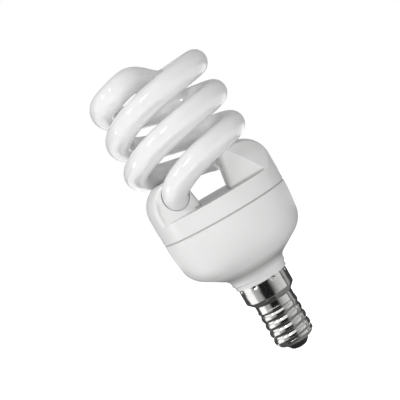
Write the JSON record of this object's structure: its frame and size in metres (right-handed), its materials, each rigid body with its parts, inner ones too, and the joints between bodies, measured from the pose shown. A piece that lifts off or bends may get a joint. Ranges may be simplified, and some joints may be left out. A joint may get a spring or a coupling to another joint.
{
  "type": "spiral energy saving bulb",
  "caption": "Compact fluorescent lamp: spiral glass tube on a white ballast housing with a small Edison screw cap, screwed into a lamp holder to give light.",
  "frame": {"origin": "centre of the outer face of the centre contact at the cap's tip", "axes": "+Z along the lamp's axis from the cap to the glass, -Y the side where the tube enters the left block"},
  "size_m": [0.0446, 0.0442, 0.1057],
  "materials": {
    "white_glass": "gloss",
    "white_plastic": "satin",
    "nickel_sheet": "polished",
    "black_glass": "gloss",
    "contact_metal": "satin",
    "board": "matte",
    "capacitor_sleeve": "satin",
    "ferrite": "matte",
    "bobbin_plastic": "matte",
    "copper": "satin",
    "film_dip": "gloss",
    "dark_sleeve": "satin",
    "dark_plastic": "matte",
    "small_glass": "gloss",
    "resistor_coat": "satin",
    "wire_metal": "satin"
  },
  "bodies": {
    "root": {"glass_tube": "white_glass", "upper_cover": "white_plastic", "lower_housing": "white_plastic", "screw_shell": "nickel_sheet", "cap_insulator": "black_glass", "centre_contact": "contact_metal", "circuit_board": "board", "smoothing_capacitor": "capacitor_sleeve", "choke_core": "ferrite", "choke_bobbin": "bobbin_plastic", "choke_winding": "copper", "resonance_capacitor": "film_dip", "coupling_capacitor": "film_dip", "filter_inductor": "dark_sleeve", "drive_ring_core": "ferrite", "drive_ring_windings": "copper", "switching_transistors": "dark_plastic", "rectifier_diodes": "dark_plastic", "start_diac": "small_glass", "base_resistors": "resistor_coat", "filament_leads": "wire_metal", "wrap_pins": "wire_metal", "fuse_resistor": "resistor_coat", "live_lead": "wire_metal", "neutral_lead": "wire_metal"}
  },
  "joints": []
}
